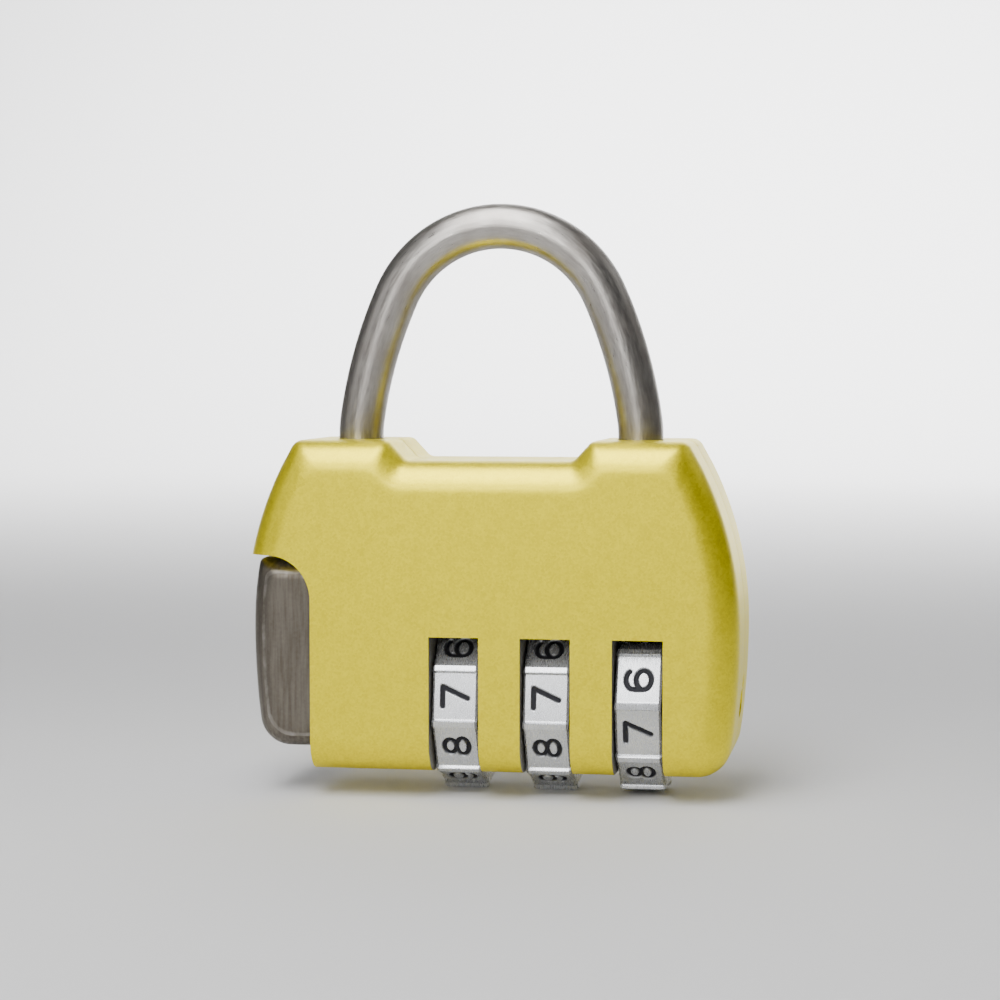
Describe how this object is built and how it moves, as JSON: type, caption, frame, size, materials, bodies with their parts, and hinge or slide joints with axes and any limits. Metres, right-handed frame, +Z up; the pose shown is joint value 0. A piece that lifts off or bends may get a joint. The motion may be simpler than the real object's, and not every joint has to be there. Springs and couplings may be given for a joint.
{
  "type": "luggage combination padlock",
  "caption": "Small padlock with a wire shackle, ten-digit dials in windows along the lower front and a release button in its flank.",
  "frame": {"origin": "centre of the bounding box's base: the lock stands on its dials, below the middle of the case", "axes": "+X along the axle of the dials towards the code-change pin, +Y to the back, +Z up the shackle"},
  "size_m": [0.0345, 0.013, 0.0417],
  "materials": {
    "paint": "pearl yellow paint on cast zinc",
    "nickel": "nickel plate, satin",
    "shackle_steel": "drawn wire, brushed and plated",
    "cast_zinc": "bare cast metal, satin",
    "steel": "bright",
    "spring_steel": "blued spring steel",
    "brass": "turned"
  },
  "bodies": {
    "case": {"front_case": "paint", "back_case": "paint", "case_pins": "steel", "button_spring": "spring_steel", "sleeve_spring": "spring_steel", "shackle_spring": "spring_steel", "detent_spring": "spring_steel", "catch_spring": "spring_steel"},
    "dial_a": {"dial_1": "nickel"},
    "dial_b": {"dial_2": "nickel"},
    "dial_c": {"dial_3": "nickel"},
    "sleeve_a": {"sleeve_1": "brass"},
    "sleeve_b": {"sleeve_2": "brass"},
    "sleeve_c": {"sleeve_3": "brass"},
    "button": {"side_button": "cast_zinc", "button_slider": "steel", "button_rivets": "steel", "spindle": "steel", "spindle_clip": "spring_steel"},
    "code_pin": {"reset_pin": "brass"},
    "shackle_bow": {"shackle": "shackle_steel", "shackle_clip": "spring_steel"}
  },
  "joints": [
    {"name": "dial_1_spin", "type": "hinge", "parent": "case", "child": "dial_a", "pos_m": [-0.0022, 0, 0.00637], "axis": [1, 0, 0], "continuous": true, "deforming": ["detent_spring"]},
    {"name": "dial_2_spin", "type": "hinge", "parent": "case", "child": "dial_b", "pos_m": [0.0042, 0, 0.00637], "axis": [1, 0, 0], "continuous": true},
    {"name": "dial_3_spin", "type": "hinge", "parent": "case", "child": "dial_c", "pos_m": [0.0106, 0, 0.00637], "axis": [1, 0, 0], "continuous": true},
    {"name": "button_push", "type": "slide", "parent": "case", "child": "button", "axis": [1, 0, 0], "range_m": [0, 0.0016], "stiffness_N_per_m": 300, "springref_m": -0.002, "deforming": ["button_spring", "catch_spring"]},
    {"name": "code_change", "type": "slide", "parent": "case", "child": "code_pin", "axis": [-1, 0, 0], "range_m": [0, 0.001], "stiffness_N_per_m": 200, "springref_m": -0.001, "deforming": ["sleeve_spring"]},
    {"name": "sleeve_1_slide", "type": "slide", "parent": "dial_a", "child": "sleeve_a", "axis": [-1, 0, 0], "range_m": [0, 0.001]},
    {"name": "sleeve_2_slide", "type": "slide", "parent": "dial_b", "child": "sleeve_b", "axis": [-1, 0, 0], "range_m": [0, 0.001]},
    {"name": "sleeve_3_slide", "type": "slide", "parent": "dial_c", "child": "sleeve_c", "axis": [-1, 0, 0], "range_m": [0, 0.001]},
    {"name": "shackle_lift", "type": "slide", "parent": "case", "child": "shackle_bow", "axis": [0, 0, 1], "range_m": [0, 0.006], "deforming": ["shackle_spring"]}
  ],
  "couplings": [
    {"joint": "sleeve_1_slide", "follows": "code_change", "ratio": 1},
    {"joint": "sleeve_2_slide", "follows": "code_change", "ratio": 1},
    {"joint": "sleeve_3_slide", "follows": "code_change", "ratio": 1}
  ]
}
